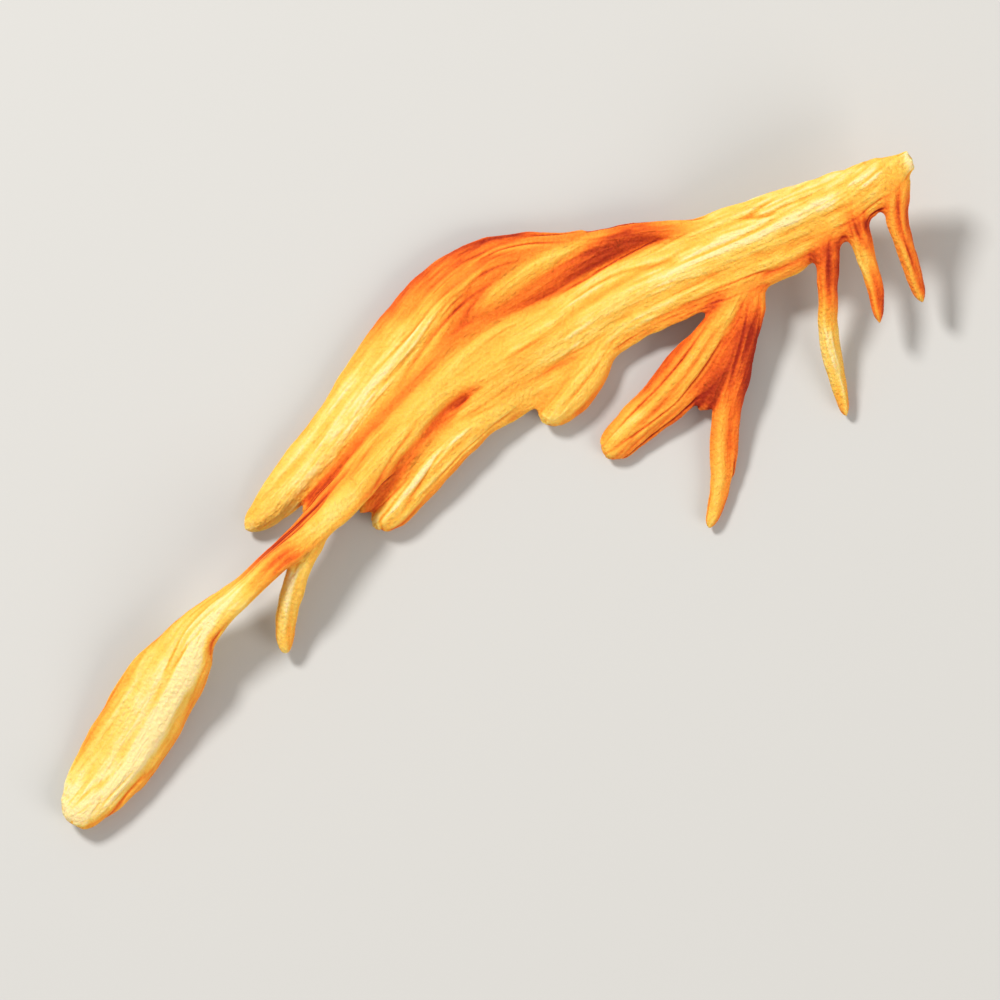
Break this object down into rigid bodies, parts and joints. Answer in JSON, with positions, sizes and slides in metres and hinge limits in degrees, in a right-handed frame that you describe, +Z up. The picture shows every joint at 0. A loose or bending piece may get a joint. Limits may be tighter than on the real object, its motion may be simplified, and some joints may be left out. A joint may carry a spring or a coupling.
{
  "type": "dried cordyceps fruiting body",
  "caption": "Forked, flattened fruiting body of dried cultivated cordyceps, with furrowed clubs and thin side shoots, lying loose on a surface.",
  "frame": {"origin": "middle of the bounding box, on the surface that the body lies on", "axes": "+X along the length, from the tip of the long club to the cut end of the stalk; +Y towards the upper club; +Z up from the surface"},
  "size_m": [0.0666, 0.0238, 0.006],
  "materials": {
    "blade_flesh": "matte",
    "club_flesh": "matte",
    "shoot_flesh": "matte"
  },
  "bodies": {
    "root": {"stalk": "blade_flesh", "blade": "blade_flesh", "middle_finger": "blade_flesh", "long_club": "club_flesh", "upper_club": "club_flesh", "lower_finger": "blade_flesh", "side_lobe": "blade_flesh", "lower_prong": "blade_flesh", "side_shoot": "shoot_flesh", "base_shoot_1": "shoot_flesh", "base_shoot_2": "shoot_flesh", "base_shoot_3": "shoot_flesh", "twig": "shoot_flesh"}
  },
  "joints": []
}
